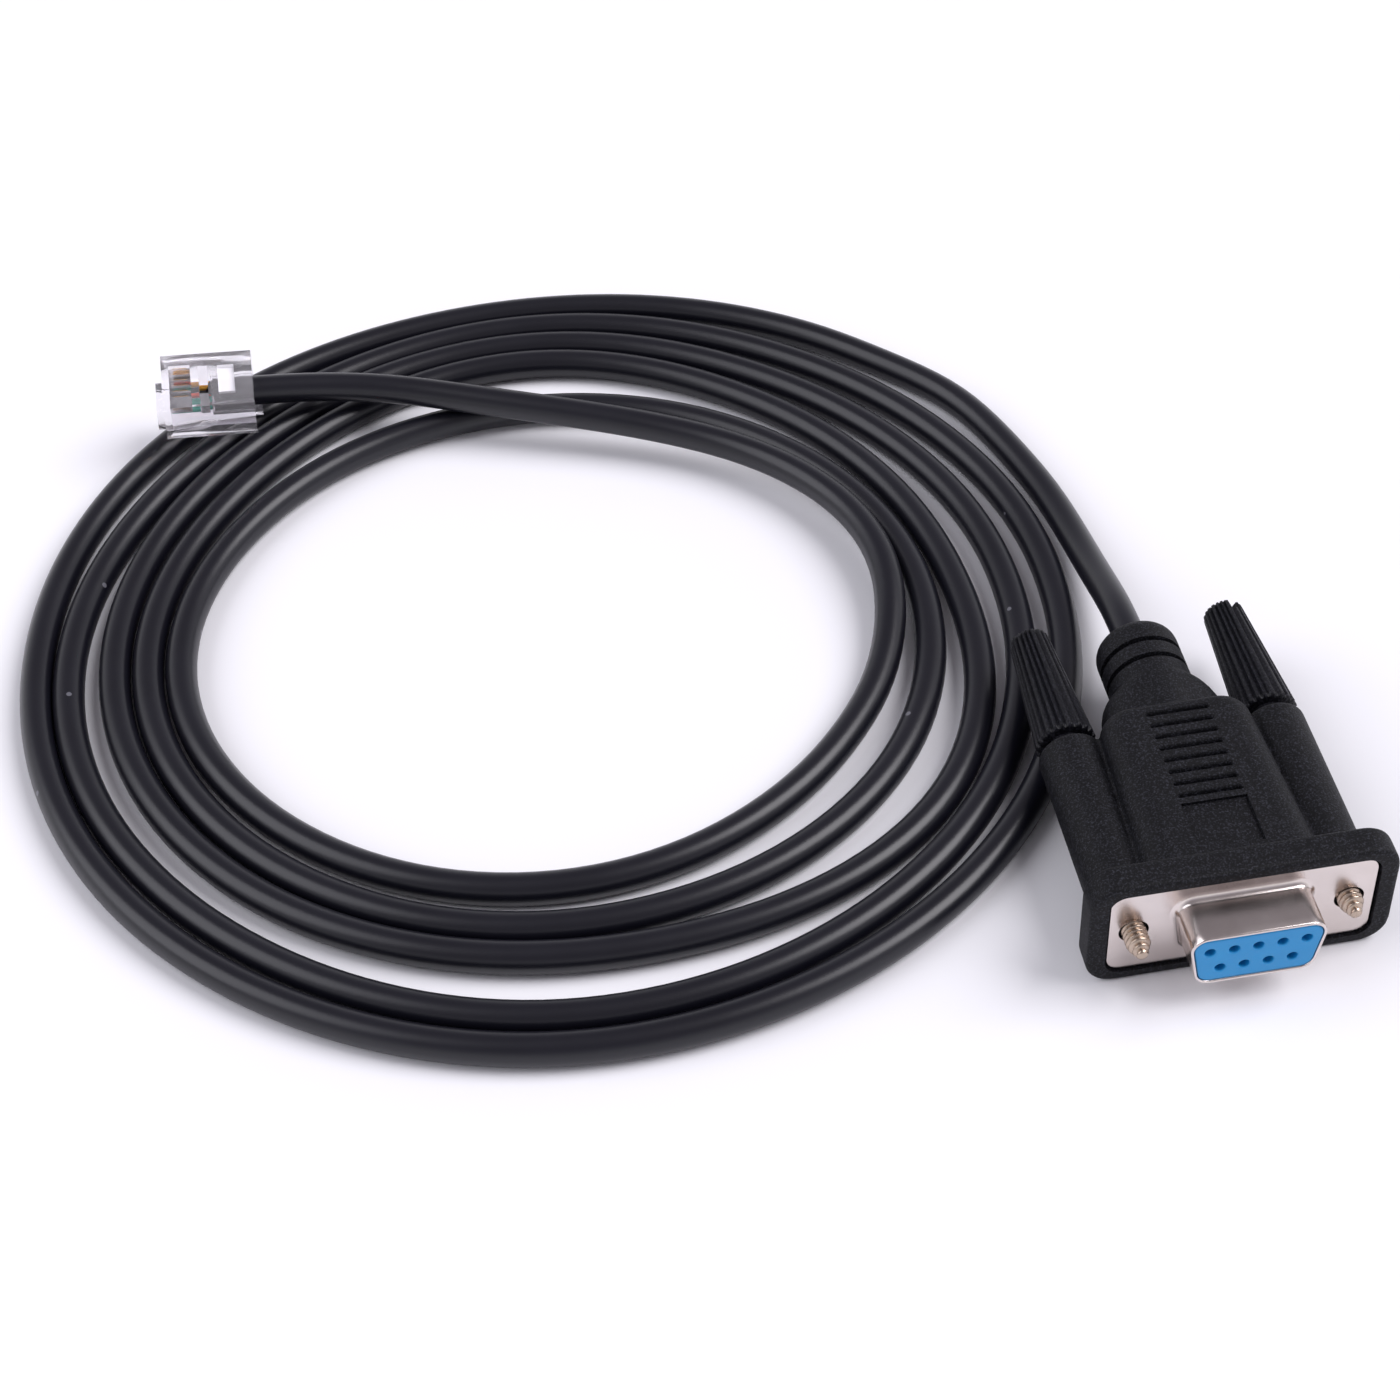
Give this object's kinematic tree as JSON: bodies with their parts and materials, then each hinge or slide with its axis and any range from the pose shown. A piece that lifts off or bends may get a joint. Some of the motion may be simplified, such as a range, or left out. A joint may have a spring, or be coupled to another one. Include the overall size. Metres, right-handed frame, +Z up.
{
  "type": "serial console cable",
  "caption": "Coiled round black cable from a nine-way D-shaped socket with thumbscrews to a clear modular plug.",
  "frame": {"origin": "on the floor, under the middle of the connector's box", "axes": "+Z up, -Y out of the connector's mating face, +Y along its strain relief, the coil lies towards -X and +Y"},
  "size_m": [0.1579, 0.1463, 0.0158],
  "materials": {
    "hood": "fine matte moulded",
    "knob": "coarse ribbed, matte",
    "nickel": "bright nickel plate",
    "insulator": "satin moulded",
    "contact": "plated",
    "jacket": "satin vinyl",
    "clear": "clear polycarbonate",
    "gold": "gold plate",
    "wire_yellow": "vinyl insulation",
    "wire_black": "vinyl insulation",
    "wire_red": "vinyl insulation",
    "wire_green": "vinyl insulation"
  },
  "bodies": {
    "connector": {"hood": "hood", "shell": "nickel", "insulator": "insulator", "socket_contact_1": "contact", "socket_contact_2": "contact", "socket_contact_3": "contact", "socket_contact_4": "contact", "socket_contact_5": "contact", "socket_contact_6": "contact", "socket_contact_7": "contact", "socket_contact_8": "contact", "socket_contact_9": "contact", "cable_coil": "jacket", "cable_lead": "jacket", "cable_tail": "jacket", "plug_body": "clear", "plug_blade_1": "gold", "plug_blade_2": "gold", "plug_blade_3": "gold", "plug_blade_4": "gold", "plug_blade_5": "gold", "plug_blade_6": "gold", "wire_yellow": "wire_yellow", "wire_black": "wire_black", "wire_red": "wire_red", "wire_green": "wire_green"},
    "left_thumbscrew": {"knob_left": "knob", "screw_left": "nickel"},
    "right_thumbscrew": {"knob_right": "knob", "screw_right": "nickel"}
  },
  "joints": [
    {"name": "left_thumbscrew_turn", "type": "hinge", "parent": "connector", "child": "left_thumbscrew", "pos_m": [-0.0125, 0, 0.0079], "axis": [0, -1, 0], "continuous": true},
    {"name": "right_thumbscrew_turn", "type": "hinge", "parent": "connector", "child": "right_thumbscrew", "pos_m": [0.0125, 0, 0.0079], "axis": [0, -1, 0], "continuous": true}
  ]
}
